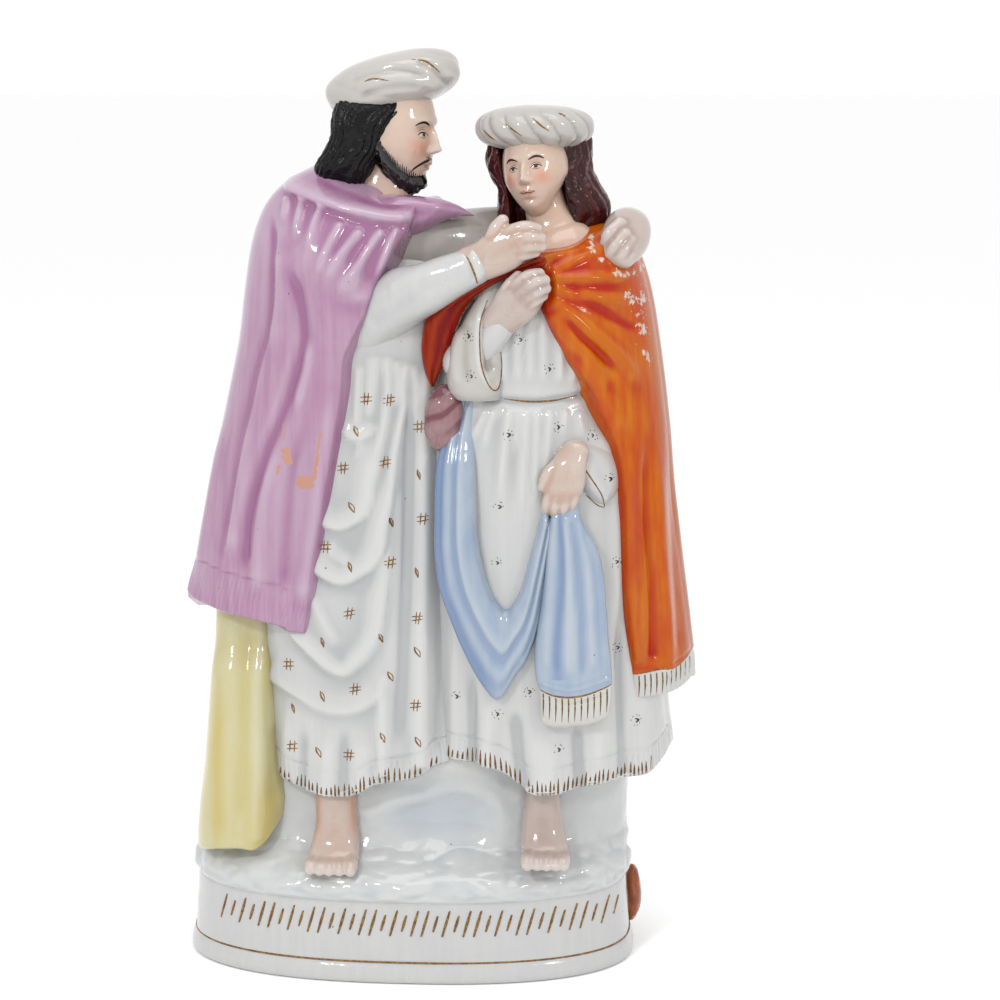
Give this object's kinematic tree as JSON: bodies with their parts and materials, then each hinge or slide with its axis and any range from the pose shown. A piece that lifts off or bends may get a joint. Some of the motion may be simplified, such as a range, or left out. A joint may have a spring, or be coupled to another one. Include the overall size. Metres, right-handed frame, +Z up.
{
  "type": "staffordshire figure",
  "caption": "Glazed earthenware group of a bearded man embracing a youth, both draped and turbaned, on an oval plinth.",
  "frame": {"origin": "middle of the flat underside of the oval plinth", "axes": "+Z up through the figures, the figures face -Y, +X runs from the man towards the youth"},
  "size_m": [0.1993, 0.0973, 0.3498],
  "materials": {
    "white_glaze": "glossy bluish white lead glaze over earthenware",
    "pink_enamel": "glossy brushed lilac pink enamel, worn in places",
    "orange_enamel": "glossy brushed orange enamel, flaked at the shoulder",
    "blue_enamel": "glossy pale blue enamel, darker in the folds",
    "yellow_enamel": "glossy thin pale yellow enamel",
    "flesh_enamel": "glossy thin flesh tint",
    "black_enamel": "glossy stippled black",
    "brown_enamel": "glossy stippled maroon brown",
    "gilding": "thin worn gilding, satin"
  },
  "bodies": {
    "root": {"figure_group": "white_glaze"}
  },
  "joints": []
}
